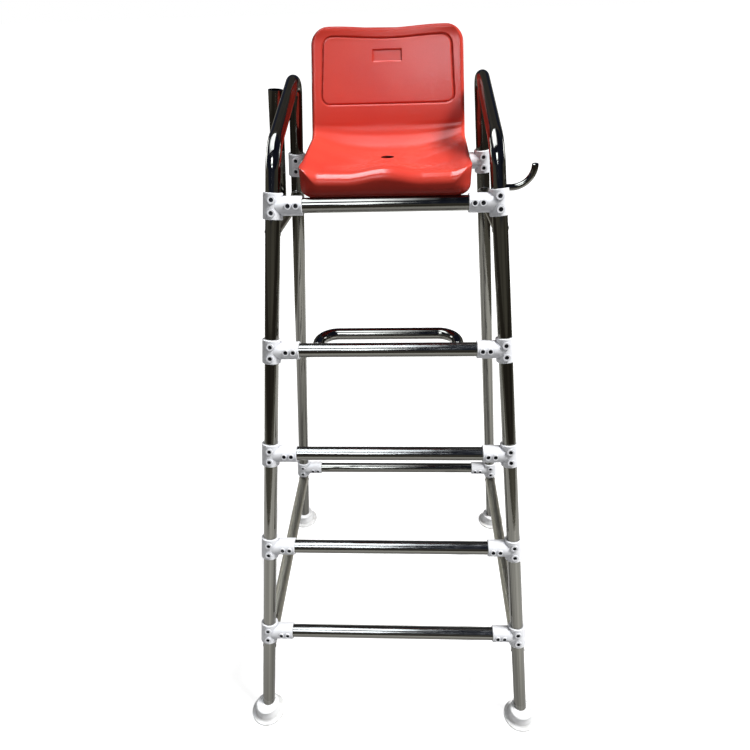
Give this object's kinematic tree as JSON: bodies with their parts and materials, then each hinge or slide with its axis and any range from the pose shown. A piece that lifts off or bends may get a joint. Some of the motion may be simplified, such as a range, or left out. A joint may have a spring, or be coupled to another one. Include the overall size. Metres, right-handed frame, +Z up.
{
  "type": "lifeguard chair",
  "caption": "Tall ladder-fronted lifeguard chair of polished tube with a moulded red seat, arm hoops, a side pole holder and a hook.",
  "frame": {"origin": "on the floor, midway between the four feet", "axes": "+Z up; -Y is the ladder side, where the climber stands; +X is to the right for someone who faces the ladder side"},
  "size_m": [0.9116, 0.9216, 1.8853],
  "materials": {
    "seat_red": "satin moulded",
    "steel": "polished",
    "fitting_white": "satin powder coat",
    "foot_white": "satin"
  },
  "bodies": {
    "root": {"seat": "seat_red", "seat_rung": "steel", "step_rung_1": "steel", "step_rung_2": "steel", "step_rung_3": "steel", "step_rung_4": "steel", "rear_rung_low": "steel", "rear_rung_high": "steel", "front_leg_left": "steel", "front_leg_right": "steel", "rear_leg_left": "steel", "rear_leg_right": "steel", "arm_hoop_left": "steel", "arm_hoop_right": "steel", "side_rail_left": "steel", "side_rail_right": "steel", "seat_rail_left": "steel", "seat_rail_right": "steel", "footrest_loop": "steel", "pole_holder": "steel", "holder_lugs": "steel", "hook": "steel", "foot_front_left": "foot_white", "foot_front_right": "foot_white", "foot_rear_left": "foot_white", "foot_rear_right": "foot_white", "fitting_seat_left": "fitting_white", "fitting_seat_right": "fitting_white", "fitting_step_1_left": "fitting_white", "fitting_step_1_right": "fitting_white", "fitting_step_2_left": "fitting_white", "fitting_step_2_right": "fitting_white", "fitting_step_3_left": "fitting_white", "fitting_step_3_right": "fitting_white", "fitting_step_4_left": "fitting_white", "fitting_step_4_right": "fitting_white", "fitting_rear_low_left": "fitting_white", "fitting_rear_low_right": "fitting_white", "fitting_rear_high_left": "fitting_white", "fitting_rear_high_right": "fitting_white"}
  },
  "joints": []
}
